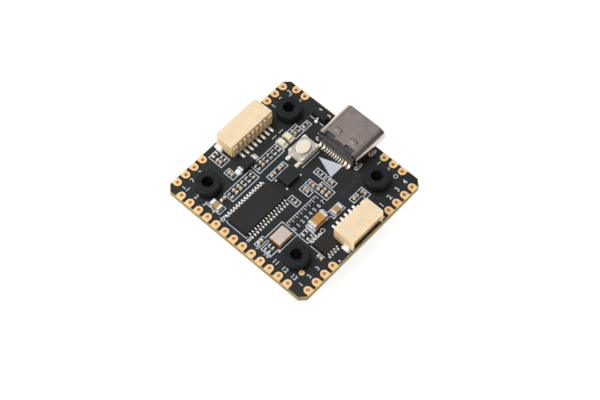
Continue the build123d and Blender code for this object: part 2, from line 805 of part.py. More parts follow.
# ---------------------------------------------------------------- chips on the lower face
processor_seat = under(0, 0.2)
processor_body = moulded_body(processor_seat, 10.0, 10.0, 1.45, dot=0.45)
processor_body.part.label = "processor_body"
export_step(processor_body.part, "parts/processor_body.step")

processor_planes = [
    upright(processor_seat, turn, x)
    for turn in (0, 90, 180, 270)
    for x in centred_row(16, 0.5)
]
processor_leads = gull_leads(processor_planes, 5.0, 5.95, 0.22, 0.85)
processor_leads.part.label = "processor_leads"
export_step(processor_leads.part, "parts/processor_leads.step")

crystal(under(-10.2, -4.9), "processor_crystal")

flash_seat = under(-10.3, 1.6, 90)
flash_chip_body = moulded_body(flash_seat, 4.9, 3.9, 1.45, dot=0.3)
flash_chip_body.part.label = "flash_chip_body"
export_step(flash_chip_body.part, "parts/flash_chip_body.step")

flash_planes = [upright(flash_seat, turn, x) for turn in (0, 180) for x in centred_row(4, 1.27)]
flash_chip_leads = gull_leads(flash_planes, 1.95, 2.95, 0.42, 0.85)
flash_chip_leads.part.label = "flash_chip_leads"
export_step(flash_chip_leads.part, "parts/flash_chip_leads.step")

barometer_seat = under(10.2, 6.1)
barometer_length = 2.5
barometer_width = 2.0
barometer_tray = 0.3
can_step = 0.1
can_height = 0.6
can_corner = 0.2
vent_radius = 0.15
barometer_base = block([barometer_seat], barometer_length, barometer_width, barometer_tray)
barometer_base.part.label = "barometer_base"
export_step(barometer_base.part, "parts/barometer_base.step")

with BuildPart() as barometer_can:
    with BuildSketch(barometer_seat.offset(barometer_tray)):
        RectangleRounded(barometer_length - can_step, barometer_width - can_step, can_corner)
    extrude(amount=can_height)
    with BuildSketch(barometer_seat.offset(barometer_tray + can_height)):
        with Locations((0.7, 0.45)):
            Circle(vent_radius)
    extrude(amount=-can_height / 2, mode=Mode.SUBTRACT)
barometer_can.part.label = "barometer_can"
export_step(barometer_can.part, "parts/barometer_can.step")

regulator_seat = under(3.4, -10.6)
regulator_body = moulded_body(regulator_seat, 2.9, 1.6, 1.1, dot=0.12)
regulator_body.part.label = "regulator_body"
export_step(regulator_body.part, "parts/regulator_body.step")

regulator_planes = [upright(regulator_seat, turn, x) for turn in (0, 180) for x in centred_row(3, 0.95)]
regulator_leads = gull_leads(regulator_planes, 0.8, 1.4, 0.4, 0.65)
regulator_leads.part.label = "regulator_leads"
export_step(regulator_leads.part, "parts/regulator_leads.step")

inductor_seat = under(-2.6, -10.8)
inductor_size = 4.0
inductor_height = 2.0
inductor_edge = 0.25
inductor_lift = 0.1
inductor_end = 0.8
inductor_end_width = 2.4
power_inductor_core = soft_block(
    [inductor_seat], inductor_size, inductor_size, inductor_height, inductor_edge, lift=inductor_lift
)
power_inductor_core.part.label = "power_inductor_core"
export_step(power_inductor_core.part, "parts/power_inductor_core.step")

with BuildPart() as power_inductor_ends:
    with BuildSketch(inductor_seat):
        with GridLocations(inductor_size + 2 * copper - inductor_end, 0, 2, 1):
            Rectangle(inductor_end, inductor_end_width)
    extrude(amount=inductor_lift)
power_inductor_ends.part.label = "power_inductor_ends"
export_step(power_inductor_ends.part, "parts/power_inductor_ends.step")
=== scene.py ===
import json
import math

import bmesh
import bpy
from mathutils import Matrix, Vector


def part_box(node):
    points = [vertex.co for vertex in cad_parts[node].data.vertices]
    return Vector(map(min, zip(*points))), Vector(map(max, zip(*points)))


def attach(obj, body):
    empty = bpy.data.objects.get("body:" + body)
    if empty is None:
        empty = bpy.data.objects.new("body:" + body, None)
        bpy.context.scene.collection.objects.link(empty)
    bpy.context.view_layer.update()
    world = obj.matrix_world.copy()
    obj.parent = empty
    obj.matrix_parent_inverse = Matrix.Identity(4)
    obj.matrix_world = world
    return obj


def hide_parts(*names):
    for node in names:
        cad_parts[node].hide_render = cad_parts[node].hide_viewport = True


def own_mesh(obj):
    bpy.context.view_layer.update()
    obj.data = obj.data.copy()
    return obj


# Flight controller board on soft mounts. Everything is in metres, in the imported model's frame:
# +Y is the board's forward arrow, +X its USB side, +Z up, and the floor is z = 0.
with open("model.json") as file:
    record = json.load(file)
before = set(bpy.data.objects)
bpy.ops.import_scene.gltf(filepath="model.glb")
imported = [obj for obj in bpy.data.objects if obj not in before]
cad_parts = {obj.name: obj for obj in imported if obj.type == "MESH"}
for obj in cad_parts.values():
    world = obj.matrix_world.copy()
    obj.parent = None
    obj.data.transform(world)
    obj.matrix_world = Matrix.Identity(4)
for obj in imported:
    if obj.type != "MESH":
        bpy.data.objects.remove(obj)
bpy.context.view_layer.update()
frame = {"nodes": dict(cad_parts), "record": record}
nodes = frame["nodes"]
MM = 0.001

# ---------------------------------------------------------------- places read from the frame
board_low, board_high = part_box("circuit_board")
board_centre = (board_low + board_high) / 2
board_top = board_high.z
board_bottom = board_low.z
half_width = (board_high.x - board_low.x) / 2
half_length = (board_high.y - board_low.y) / 2


def at(x, y, height=0.0):
    """A place on the upper face in metres, from millimetres measured from the board's centre."""
    return Vector((board_centre.x + x * MM, board_centre.y + y * MM, board_top + height * MM))


def islands(node):
    """Boxes of the separate solids of one CAD node, as pairs of corners."""
    copy = bmesh.new()
    copy.from_mesh(nodes[node].data)
    bmesh.ops.remove_doubles(copy, verts=copy.verts, dist=0.001 * MM)
    seen, boxes = set(), []
    for start in copy.verts:
        if start in seen:
            continue
        seen.add(start)
        reached, queue = [], [start]
        while queue:
            vert = queue.pop()
            reached.append(vert.co)
            for edge in vert.link_edges:
                other = edge.other_vert(vert)
                if other not in seen:
                    seen.add(other)
                    queue.append(other)
        low = Vector([min(co[axis] for co in reached) for axis in range(3)])
        high = Vector([max(co[axis] for co in reached) for axis in range(3)])
        boxes.append((low, high))
    copy.free()
    return sorted(boxes, key=lambda box: tuple(round(value, 6) for value in (*box[0], *box[1])))


# ---------------------------------------------------------------- camera
def make_camera():
    """The camera stands at the rear left of the board, well above it, and is rolled a little."""
    azimuth, elevation, roll = math.radians(-48.932), math.radians(60.937), math.radians(1.41)
    distance = 250.89 * MM
    target = at(-1.489, -2.6)
    back = Vector((
        math.sin(azimuth) * math.cos(elevation),
        -math.cos(azimuth) * math.cos(elevation),
        math.sin(elevation),
    ))
    data = bpy.data.cameras.new("camera")
    data.sensor_width = 36.0
    data.lens = 90.365
    data.clip_start = 0.001
    data.clip_end = 10.0
    camera = bpy.data.objects.new("camera", data)
    bpy.context.scene.collection.objects.link(camera)
    turn = back.to_track_quat("Z", "Y") @ Matrix.Rotation(roll, 4, "Z").to_quaternion()
    camera.matrix_world = Matrix.Translation(target + back * distance) @ turn.to_matrix().to_4x4()
    bpy.context.scene.camera = camera


# ---------------------------------------------------------------- materials
class Paint:
    """A material with a Principled shader, and short calls for its procedural nodes."""

    def __init__(self, name, **settings):
        self.material = bpy.data.materials.new(name)
        self.material.use_nodes = True
        self.nodes = self.material.node_tree.nodes
        self.links = self.material.node_tree.links
        self.shader = self.nodes["Principled BSDF"]
        self.places = self.nodes.new("ShaderNodeTexCoord").outputs
        for socket, value in settings.items():
            self.shader.inputs[socket.replace("_", " ")].default_value = value

    def link(self, source, target):
        self.links.new(source, target)

    def stretched(self, scale):
        """Object coordinates stretched by a vector."""
        mapping = self.nodes.new("ShaderNodeMapping")
        mapping.inputs["Scale"].default_value = scale
        self.link(self.places["Object"], mapping.inputs["Vector"])
        return mapping.outputs["Vector"]

    def noise(self, size, detail=3.0, rough=0.55, vector=None):
        """Noise whose features are about size millimetres."""
        node = self.nodes.new("ShaderNodeTexNoise")
        node.inputs["Scale"].default_value = 1 / (size * MM)
        node.inputs["Detail"].default_value = detail
        node.inputs["Roughness"].default_value = rough
        self.link(vector or self.places["Object"], node.inputs["Vector"])
        return node.outputs["Fac"]

    def ramp(self, factor, *stops):
        """Colour ramp from (place, colour) stops."""
        node = self.nodes.new("ShaderNodeValToRGB")
        bands = node.color_ramp.elements
        while len(bands) < len(stops):
            bands.new(0.5)
        for band, (place, colour) in zip(bands, stops):
            band.position = place
            band.color = (*colour, 1)
        self.link(factor, node.inputs["Fac"])
        return node.outputs["Color"]

    def spread(self, factor, low, high):
        """A value from low to high as the noise goes through its middle range."""
        node = self.nodes.new("ShaderNodeMapRange")
        node.inputs["From Min"].default_value = 0.3
        node.inputs["From Max"].default_value = 0.7
        node.inputs["To Min"].default_value = low
        node.inputs["To Max"].default_value = high
        self.link(factor, node.inputs["Value"])
        return node.outputs["Result"]

    def maths(self, operation, first, second=None):
        node = self.nodes.new("ShaderNodeMath")
        node.operation = operation
        for socket, value in zip(node.inputs, (first, second)):
            if isinstance(value, (int, float)):
                socket.default_value = value
            elif value is not None:
                self.link(value, socket)
        return node.outputs["Value"]

    def mix(self, factor, first, second):
        node = self.nodes.new("ShaderNodeMix")
        node.data_type = "RGBA"
        self.link(factor, node.inputs["Factor"])
        for name, value in (("A", first), ("B", second)):
            socket = [s for s in node.inputs if s.name == name and s.type == "RGBA"][0]
            if isinstance(value, tuple):
                socket.default_value = (*value, 1)
            else:
                self.link(value, socket)
        return [s for s in node.outputs if s.type == "RGBA"][0]

    def bump(self, height, depth):
        """Bump from a height; depth is in millimetres."""
        node = self.nodes.new("ShaderNodeBump")
        node.inputs["Strength"].default_value = 1.0
        node.inputs["Distance"].default_value = depth * MM
        self.link(height, node.inputs["Height"])
        self.link(node.outputs["Normal"], self.shader.inputs["Normal"])

    def walls(self):
        """One on upright faces, nought on level ones."""
        facing = self.nodes.new("ShaderNodeSeparateXYZ")
        self.link(self.places["Normal"], facing.inputs["Vector"])
        return self.maths("LESS_THAN", self.maths("ABSOLUTE", facing.outputs["Z"]), 0.5)

    def colour(self, source):
        self.link(source, self.shader.inputs["Base Color"])

    def rough(self, source):
        self.link(source, self.shader.inputs["Roughness"])


def shade(colour, factor):
    return tuple(min(1.0, value * factor) for value in colour)


def grained(name, colour, size, contrast=0.12, rough=(0.45, 0.6), grain=0.15, depth=0.004, **settings):
    """A material whose colour, gloss and fine relief all vary a little."""
    paint = Paint(name, **settings)
    cloud = paint.noise(size)
    paint.colour(paint.ramp(cloud, (0.3, shade(colour, 1 - contrast)), (0.7, shade(colour, 1 + contrast))))
    paint.rough(paint.spread(paint.noise(size * 0.4), *rough))
    paint.bump(paint.noise(grain, 4.0), depth)
    return paint.material


def board_material():
    """Black solder mask on the faces, and bare laminate on the cut edges and in a thin strip beside them."""
    mask_dark, mask_light = (0.0070, 0.0080, 0.0086), (0.0150, 0.0165, 0.0172)
    edge_dark, edge_light = (0.165, 0.135, 0.048), (0.38, 0.31, 0.125)
    strip = 0.16 * MM
    corner = 1.05 * MM
    paint = Paint("solder_mask", Specular_IOR_Level=0.32)
    axes = paint.nodes.new("ShaderNodeSeparateXYZ")
    paint.link(paint.places["Object"], axes.inputs["Vector"])
    from_x = paint.maths("ABSOLUTE", paint.maths("SUBTRACT", axes.outputs["X"], board_centre.x))
    from_y = paint.maths("ABSOLUTE", paint.maths("SUBTRACT", axes.outputs["Y"], board_centre.y))
    past_x = paint.maths("GREATER_THAN", from_x, half_width - strip)
    past_y = paint.maths("GREATER_THAN", from_y, half_length - strip)
    diagonal = half_width + half_length - corner - strip * math.sqrt(2)
    past_corner = paint.maths("GREATER_THAN", paint.maths("ADD", from_x, from_y), diagonal)
    rim = paint.maths("MAXIMUM", paint.maths("MAXIMUM", past_x, past_y), past_corner)
    bare = paint.maths("MAXIMUM", rim, paint.walls())
    mask = paint.ramp(paint.noise(5.0, 4.0), (0.3, mask_dark), (0.7, mask_light))
    layers = paint.noise(0.35, 3.0, vector=paint.stretched((0.15, 0.15, 1.6)))
    laminate = paint.ramp(layers, (0.3, edge_dark), (0.7, edge_light))
    paint.colour(paint.mix(bare, mask, laminate))
    gloss = paint.spread(paint.noise(2.0), 0.42, 0.55)
    paint.rough(paint.maths("ADD", gloss, paint.maths("MULTIPLY", bare, 0.25)))
    weave = paint.nodes.new("ShaderNodeTexWave")
    weave.inputs["Scale"].default_value = 1 / (0.5 * MM) / 6.283
    weave.inputs["Distortion"].default_value = 1.5
    paint.link(paint.places["Object"], weave.inputs["Vector"])
    relief = paint.maths("ADD", paint.noise(0.3, 4.0), paint.maths("MULTIPLY", weave.outputs["Fac"], 0.3))
    paint.bump(relief, 0.006)
    return paint.material


def gold_material():
    """Gold plating, bright on the flat pads, with painted shade on the walls of the holes."""
    gold, shadow = (1.0, 0.62, 0.28), (0.75, 0.34, 0.10)
    paint = Paint("gold_plating", Metallic=0.25)
    cloud = paint.ramp(paint.noise(0.5), (0.3, shade(gold, 0.86)), (0.7, shade(gold, 1.15)))
    # Painted shade: every upright face, including the walls of the holes, takes the darker shadow colour,
    # however it is lit.
    paint.colour(paint.mix(paint.walls(), cloud, shadow))
    paint.rough(paint.spread(paint.noise(0.3), 0.3, 0.5))
    paint.bump(paint.noise(0.12, 4.0), 0.006)
    return paint.material


def socket_material(cream):
    """Cream nylon that lets a little light through, with painted shade on its upright walls and in its
    slots: a warmer ochre mixed over the cream.
    """
    painted_wall_shade = (0.90, 0.60, 0.27)
    paint = Paint("socket_plastic", Subsurface_Weight=0.4, Subsurface_Scale=0.0012)
    wall_shade_share = 0.55
    cloud = paint.ramp(paint.noise(2.5), (0.3, shade(cream, 0.95)), (0.7, shade(cream, 1.05)))
    # Painted shade: every upright face gets the warm ochre mixed over the cream, however it is lit.
    paint.colour(paint.mix(paint.maths("MULTIPLY", paint.walls(), wall_shade_share), cloud, painted_wall_shade))
    paint.rough(paint.spread(paint.noise(1.0), 0.42, 0.55))
    paint.bump(paint.noise(0.2, 4.0), 0.004)
    return paint.material


def brushed(name, colour, direction, rough=(0.25, 0.4), depth=0.0015, contrast=0.08, **settings):
    """Plated sheet metal with fine drawing lines along one direction."""
    paint = Paint(name, Metallic=1.0, **settings)
    along = [0.06 if axis == direction else 1.0 for axis in "XYZ"]
    lines = paint.noise(0.08, 3.0, vector=paint.stretched(along))
    cloud = paint.noise(1.6, 4.0)
    paint.colour(paint.ramp(cloud, (0.3, shade(colour, 1 - contrast)), (0.7, shade(colour, 1 + contrast))))
    paint.rough(paint.spread(lines, *rough))
    paint.bump(lines, depth)
    return paint.material


def make_materials():
    """One material for each finish, by the record's slot name."""
    tin = (0.84, 0.82, 0.79)
    cream = (0.926, 0.735, 0.49)
    return {
        "board_laminate": board_material(),
        "gold_plating": gold_material(),
        "silicone": grained(
            "silicone", (0.0095, 0.0105, 0.0115), 1.2, 0.2, (0.62, 0.8), 0.1, 0.008, Specular_IOR_Level=0.28,
        ),
        "shell_steel": brushed("shell_steel", (0.52, 0.44, 0.405), "X", (0.16, 0.26), 0.0005, 0.1),
        "port_plastic": grained("port_plastic", (0.055, 0.051, 0.056), 0.8, 0.15, (0.45, 0.6)),
        "contact_metal": grained("contact_metal", (0.80, 0.72, 0.63), 0.4, 0.15, (0.25, 0.4), Metallic=0.9),
        "socket_plastic": socket_material(cream),
        "tin_plate": grained("tin_plate", tin, 0.4, 0.15, (0.2, 0.4), 0.15, 0.008, Metallic=0.85),
        "solder": grained("solder", (0.90, 0.88, 0.84), 0.3, 0.15, (0.2, 0.4), 0.2, 0.012, Metallic=0.45),
        "button_plastic": grained(
            "button_plastic", (0.887, 0.79, 0.63), 1.5, 0.05, (0.35, 0.5), 0.15, 0.003,
            Subsurface_Weight=0.1, Subsurface_Scale=0.0005,
        ),
        "cover_steel": brushed("cover_steel", (0.62, 0.61, 0.60), "Y", (0.25, 0.4)),
        "dome_steel": brushed("dome_steel", (0.66, 0.64, 0.61), "X", (0.2, 0.3)),
        "chip_resin": grained(
            "chip_resin", (0.0092, 0.0088, 0.0088), 0.6, 0.25, (0.48, 0.62), 0.06, 0.006,
            Specular_IOR_Level=0.36,
        ),
        "lead_metal": grained(
            "lead_metal", (0.86, 0.83, 0.78), 0.3, 0.15, (0.22, 0.4), 0.1, 0.004, Metallic=0.6,
        ),
        "tray_ceramic": grained("tray_ceramic", (0.68, 0.40, 0.12), 0.5, 0.2, (0.3, 0.45), Metallic=0.6),
        "lid_metal": brushed("lid_metal", (0.60, 0.51, 0.47), "Y", (0.35, 0.5)),
        "resistor_ceramic": grained("resistor_ceramic", (0.78, 0.77, 0.74), 0.3, 0.1, (0.5, 0.7)),
        "resistor_glass": grained("resistor_glass", (0.012, 0.012, 0.014), 0.3, 0.3, (0.15, 0.3)),
        "capacitor_ceramic": grained("capacitor_ceramic", (0.46, 0.275, 0.10), 0.4, 0.2, (0.4, 0.55)),
        "bead_ceramic": grained("bead_ceramic", (0.50, 0.16, 0.10), 0.4, 0.2, (0.4, 0.55)),
        "bulk_ceramic": grained("bulk_ceramic", (0.54, 0.265, 0.065), 0.7, 0.15, (0.35, 0.5)),
        "light_substrate": grained("light_substrate", (0.80, 0.76, 0.66), 0.5, 0.1, (0.5, 0.6)),
        "light_lens": grained(
            "light_lens", (0.93, 0.81, 0.56), 0.5, 0.12, (0.2, 0.3), Subsurface_Weight=0.3,
            Subsurface_Scale=0.0004,
        ),
        "core_resin": grained("core_resin", (0.05, 0.05, 0.053), 0.5, 0.25, (0.5, 0.7), 0.12, 0.012),
        "can_metal": brushed("can_metal", (0.60, 0.58, 0.55), "X", (0.3, 0.42)),
        "trace_mask": grained(
            "trace_mask", (0.022, 0.023, 0.0255), 0.8, 0.2, (0.4, 0.5), 0.2, 0.003, Specular_IOR_Level=0.36,
        ),
        "ink": grained("ink", (0.56, 0.62, 0.69), 0.8, 0.10, (0.55, 0.7), 0.1, 0.003),
    }


def dress_nodes(paints):
    """Gives every CAD node the material of its slot in the record; the port's anchor rings are tinned."""
    for part in frame["record"]["subparts"]:
        finish = "solder" if part["node"] == "usb_anchor_pads" else part["material_slot"]
        for slot in nodes[part["node"]].material_slots:
            slot.material = paints[finish]


# ---------------------------------------------------------------- mesh building
class Pile:
    """Gathers closed shapes into one mesh."""

    def __init__(self):
        self.verts = []
        self.faces = []

    def prism(self, outline, low, high):
        """A closed prism on a flat outline of (x, y) metres, between two heights."""
        first, count = len(self.verts), len(outline)
        self.verts += [(x, y, low) for x, y in outline] + [(x, y, high) for x, y in outline]
        self.faces.append([first + i for i in reversed(range(count))])
        self.faces.append([first + count + i for i in range(count)])
        for i in range(count):
            j = (i + 1) % count
            self.faces.append([first + i, first + j, first + count + j, first + count + i])

    def loft(self, rows):
        """A closed skin through rings of the same number of points, closed at both ends."""
        first, count = len(self.verts), len(rows[0])
        for row in rows:
            self.verts += [tuple(point) for point in row]
        for step in range(len(rows) - 1):
            for i in range(count):
                j = (i + 1) % count
                a, b = first + step * count, first + (step + 1) * count
                self.faces.append([a + i, a + j, b + j, b + i])
        self.faces.append([first + i for i in reversed(range(count))])
        last = first + (len(rows) - 1) * count
        self.faces.append([last + i for i in range(count)])

    def ring(self, centre, outer, inner, low, high, steps=32):
        first = len(self.verts)
        for radius, height in ((outer, low), (outer, high), (inner, high), (inner, low)):
            self.verts += [(x, y, height) for x, y in circle(centre, radius, steps)]
        for band in range(4):
            a, b = first + band * steps, first + (band + 1) % 4 * steps
            for i in range(steps):
                j = (i + 1) % steps
                self.faces.append([a + i, a + j, b + j, b + i])

    def piece(self, name, paint, slot, smooth=False):
        """The mesh as one piece that rides on the board."""
        mesh = bpy.data.meshes.new(name)
        mesh.from_pydata(self.verts, [], self.faces)
        check = bmesh.new()
        check.from_mesh(mesh)
        bmesh.ops.recalc_face_normals(check, faces=check.faces)
        check.to_mesh(mesh)
        check.free()
        mesh.polygons.foreach_set("use_smooth", [smooth] * len(mesh.polygons))
        mesh.materials.append(paint)
        piece = bpy.data.objects.new(name, mesh)
        bpy.context.scene.collection.objects.link(piece)
        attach(piece, "board")
        return piece


def circle(centre, radius, steps=24):
    angles = [math.tau * i / steps for i in range(steps)]
    return [(centre.x + radius * math.cos(turn), centre.y + radius * math.sin(turn)) for turn in angles]


def bar(start, end, width):
    """Outline of a straight line of ink between two places."""
    run = (end - start).to_2d().normalized()
    side = Vector((-run.y, run.x)) * width / 2
    return [
        (start.x + side.x, start.y + side.y),
        (start.x - side.x, start.y - side.y),
        (end.x - side.x, end.y - side.y),
        (end.x + side.x, end.y + side.y),
    ]


# ---------------------------------------------------------------- printed ink
ink_height = 0.03
ink_line = 0.16
ink_dot = 0.2
rule_line = 0.12
trace_height = 0.02
trace_width = 0.22
via_radius = 0.24
via_hole = 0.1
dome_sheet = 0.08
rule_start = -6.2
rule_y = -3.9

# Boxes round the small parts: centre x, centre y, size x, size y, in millimetres from the board's centre.
ink_boxes = (
    (-6.10, 6.40, 6.34, 2.06), (0.70, 6.80, 6.08, 2.02), (7.92, 6.97, 2.06, 2.02),
    (9.95, 6.50, 1.81, 1.11), (-4.85, 12.81, 2.04, 2.93), (-5.71, 9.26, 1.19, 2.06),
    (0.01, 3.93, 4.08, 1.11), (-2.32, -2.04, 1.19, 2.05), (0.48, -2.19, 1.14, 2.10),
    (2.00, -2.05, 1.19, 1.90), (4.56, -1.67, 1.15, 2.01), (4.50, -4.03, 1.14, 2.05),
    (2.49, -4.45, 2.09, 2.95), (-11.71, -3.20, 2.01, 1.05), (-11.67, -5.18, 1.96, 2.09),
    (-5.67, -7.99, 1.97, 2.04), (5.14, -9.10, 1.94, 1.10), (6.71, -9.55, 1.19, 2.00),
    (-11.80, 6.72, 1.53, 2.76), (-2.39, -7.48, 4.20, 1.74), (1.10, -8.36, 2.77, 1.54),
    (-8.62, -4.93, 4.13, 3.48),
)
# Single lines: from x, y to x, y.
ink_lines = (
    (3.34, 1.29, 7.73, 1.29), (-12.8, 3.55, -12.8, -0.94), (-6.70, -9.64, -6.70, -12.91),
    (11.96, 7.25, 11.96, 6.24), (11.96, 5.03, 11.96, 4.22),
    (4.10, 8.85, 5.10, 8.85), (5.70, 8.85, 6.70, 8.85),
    (-12.8, 3.55, -12.3, 3.55), (-12.8, -0.94, -12.3, -0.94),
)
ink_dots = (
    (-10.93, -6.62), (-1.48, 2.88), (-1.38, 0.42), (2.14, 0.55), (-5.55, -15.0),
)
ink_rings = ((-12.85, 4.30, 0.42), (-3.25, -9.24, 0.45), (12.78, -11.37, 0.42))
arrow = ((6.83, 0.70), (5.28, -3.50), (8.38, -3.50))


def print_ink(paint):
    low, high = board_top, board_top + ink_height * MM
    lines = Pile()
    for x, y, width, length in ink_boxes:
        signs = ((-1, -1), (1, -1), (1, 1), (-1, 1))
        corners = [at(x + i * width / 2, y + j * length / 2) for i, j in signs]
        for first, second in zip(corners, corners[1:] + corners[:1]):
            run = (second - first).normalized() * ink_line * MM / 2
            lines.prism(bar(first - run, second - run * 0.999, ink_line * MM), low, high)
    for x0, y0, x1, y1 in ink_lines:
        lines.prism(bar(at(x0, y0), at(x1, y1), ink_line * MM), low, high)
    for x, y in ink_dots:
        lines.prism(circle(at(x, y), ink_dot * MM), low, high)
    for x, y, radius in ink_rings:
        lines.ring(at(x, y), radius * MM, (radius - ink_line) * MM, low, high)
    lines.piece("ink_lines", paint, "board_laminate")
    head = Pile()
    head.prism([(p.x, p.y) for p in (at(*corner) for corner in arrow)], low, high)
    head.piece("ink_arrow", paint, "board_laminate")


def digits(name, paint, marks):
    """Plain numbers: each mark is a text, x, y, turn in degrees and height of its figures in millimetres."""
    verts, faces = [], []
    for text, x, y, turn, height in marks:
        curve = bpy.data.curves.new("figure", "FONT")
        curve.body = text
        curve.align_x = "CENTER"
        curve.align_y = "CENTER"
        curve.size = height * MM / 0.7
        curve.offset = 0.025 * height * MM
        curve.extrude = ink_height * MM / 2
        holder = bpy.data.objects.new("figure", curve)
        bpy.context.scene.collection.objects.link(holder)
        bpy.context.view_layer.update()
        mesh = bpy.data.meshes.new_from_object(holder)
        place = Matrix.Translation(at(x, y, ink_height / 2)) @ Matrix.Rotation(math.radians(turn), 4, "Z")
        first = len(verts)
        verts += [place @ vert.co for vert in mesh.vertices]
        faces += [[first + index for index in face.vertices] for face in mesh.polygons]
        bpy.data.objects.remove(holder)
        bpy.data.curves.remove(curve)
        bpy.data.meshes.remove(mesh)
    pile = Pile()
    pile.verts, pile.faces = verts, faces
    return pile.piece(name, paint, "board_laminate")


# ---------------------------------------------------------------- solder
def solder_dome(pile, low, high, floor, rise, steps=20):
    """A rounded rectangular cushion of solder on a face of the board; rise is negative below the board."""
    middle = (low + high) / 2
    half_x, half_y = (high.x - low.x) / 2, (high.y - low.y) / 2
    rows = []
    for share, lift in ((1.0, 0.0), (0.93, 0.45), (0.72, 0.85), (0.35, 1.0)):
        row = []
        for i in range(steps):
            angle = math.tau * i / steps
            bend_x = math.copysign(abs(math.cos(angle)) ** 0.6, math.cos(angle))
            bend_y = math.copysign(abs(math.sin(angle)) ** 0.6, math.sin(angle))
            x = middle.x + half_x * share * bend_x
            y = middle.y + half_y * share * bend_y
            row.append((x, y, floor + rise * lift))
        rows.append(row)
    pile.loft(rows)


# Leads whose outer end is soldered: node, length of the foot, margin round it, height of the solder.
soldered_feet = (
    ("motor_socket_contacts", 1.05, 0.14, 0.20), ("video_socket_contacts", 1.05, 0.14, 0.20),
    ("display_chip_leads", 0.62, 0.08, 0.13), ("driver_chip_leads", 0.50, 0.08, 0.13),
    ("processor_leads", 0.55, 0.06, 0.12), ("flash_chip_leads", 0.60, 0.12, 0.14),
    ("regulator_leads", 0.45, 0.12, 0.14), ("diode_tabs", 0.80, 0.16, 0.30),
    ("transistor_leads", 0.45, 0.16, 0.16), ("button_terminals", 0.60, 0.12, 0.14),
)
# End caps and tabs with solder all round: node, margin, share of their height that the solder climbs.
soldered_caps = (
    ("resistor_ends", 0.10, 0.55), ("capacitor_ends", 0.10, 0.50), ("filter_capacitor_ends", 0.14, 0.40),
    ("bulk_capacitor_ends", 0.20, 0.40), ("light_ends", 0.12, 0.60), ("motor_socket_tabs", 0.12, 0.30),
    ("video_socket_tabs", 0.12, 0.30),
)


def melt_solder(paint):
    """Solder at the foot of every lead and round every end cap, placed from the nodes' own boxes."""
    pile = Pile()
    for node, foot, margin, height in soldered_feet:
        node_low, node_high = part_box(node)
        centre = (node_low + node_high) / 2
        for low, high in islands(node):
            upper = (low.z + high.z) / 2 > board_centre.z
            floor, rise = (board_top, height * MM) if upper else (board_bottom, -height * MM)
            low, high = low.copy(), high.copy()
            middle = (low + high) / 2
            axis = 0 if high.x - low.x > high.y - low.y else 1
            if node == "motor_socket_contacts" or middle[axis] < centre[axis] - 0.01 * MM:
                high[axis] = low[axis] + foot * MM
            else:
                low[axis] = high[axis] - foot * MM
            grow = Vector((margin, margin, 0)) * MM
            solder_dome(pile, low - grow, high + grow, floor, rise)
    for node, margin, share in soldered_caps:
        for low, high in islands(node):
            upper = (low.z + high.z) / 2 > board_centre.z
            tall = (high.z - low.z) * share
            floor, rise = (board_top, tall) if upper else (board_bottom, -tall)
            grow = Vector((margin, margin, 0)) * MM
            solder_dome(pile, low - grow, high + grow, floor, rise)
    pile.piece("solder_joints", paint, "tin_plate", smooth=True)


# ---------------------------------------------------------------- snap dome under the button
def make_dome(paint):
    """The button's snap dome, built as one fixed thin curved sheet."""
    low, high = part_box("button_dome")
    centre = (low + high) / 2
    radius, rise = (high.x - low.x) / 2, high.z - low.z
    sheet = dome_sheet * MM
    rings, steps = 8, 40
    outer = [1 - k / rings for k in range(rings)]
    inner = [(k + 1) / rings for k in range(rings)]
    profile = [(radius * share, low.z + rise * (1 - share**2)) for share in outer]
    profile += [((radius - sheet) * share, low.z + (rise - sheet) * (1 - share**2)) for share in inner]
    pile = Pile()
    for reach, height in profile:
        pile.verts += [(x, y, height) for x, y in circle(centre, reach, steps)]
    for band in range(2 * rings):
        if band == rings - 1:
            continue
        a, b = band * steps, (band + 1) % (2 * rings) * steps
        for i in range(steps):
            j = (i + 1) % steps
            pile.faces.append([a + i, a + j, b + j, b + i])
    crown, hollow = (rings - 1) * steps, rings * steps
    pile.faces.append([crown + i for i in range(steps)])
    pile.faces.append([hollow + i for i in reversed(range(steps))])
    dome = pile.piece("snap_dome", paint, "dome_steel", smooth=True)
    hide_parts("button_dome")
    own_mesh(dome)


# ---------------------------------------------------------------- traces and vias under the mask
# Routes in millimetres from the board's centre.
trace_routes = (
    ((8.9, -5.9), (7.9, -6.9), (3.4, -6.9), (2.6, -6.1)),
    ((9.1, -6.4), (8.2, -7.3), (3.6, -7.3), (3.1, -7.8)),
    ((6.9, -10.9), (7.5, -11.5), (7.5, -12.6)),
    ((3.6, -10.4), (5.6, -10.4), (6.1, -10.9), (6.1, -12.4)),
    ((-12.9, -6.9), (-12.2, -7.6), (-12.2, -10.2), (-11.6, -11.0)),
    ((-8.1, -7.2), (-7.4, -7.9), (-7.4, -10.2), (-8.0, -10.8)),
    ((-3.2, -10.6), (-2.2, -9.6), (-0.9, -9.6)),
    ((-6.4, 4.9), (-6.4, 5.2), (-5.9, 5.7)),
    ((-2.9, 4.7), (-1.9, 5.7), (-1.9, 6.0)),
    ((2.2, 2.6), (2.9, 3.3), (2.9, 4.9), (2.3, 5.5)),
    ((8.6, 1.1), (9.0, 0.7), (9.0, -0.6)),
    ((-12.6, 8.6), (-12.6, 11.4), (-11.9, 12.1)),
    ((7.4, 9.0), (7.4, 9.9), (6.9, 10.0)),
    ((12.4, 8.4), (12.4, 9.2), (12.8, 9.6)),
    ((2.6, -0.2), (3.4, -1.0), (3.4, -3.0)),
    ((-1.4, -2.2), (-0.6, -2.2)),
)
via_places = (
    (2.6, -6.1), (3.1, -7.8), (7.5, -12.6), (6.1, -12.4), (-11.6, -11.0), (-8.0, -10.8), (-0.9, -9.6),
    (2.3, 5.5), (9.0, -0.6), (-11.9, 12.1), (12.8, 9.6), (3.4, -3.0), (8.6, 1.1), (-7.4, -7.9), (4.3, -7.9),
    (5.0, -7.9), (8.4, -12.0), (-2.6, -12.6), (-2.6, -11.6), (-9.8, -12.4), (3.2, 9.2), (3.2, 8.4),
    (-7.2, 10.8), (-7.2, 11.6), (12.6, 2.7), (9.0, 8.0),
)


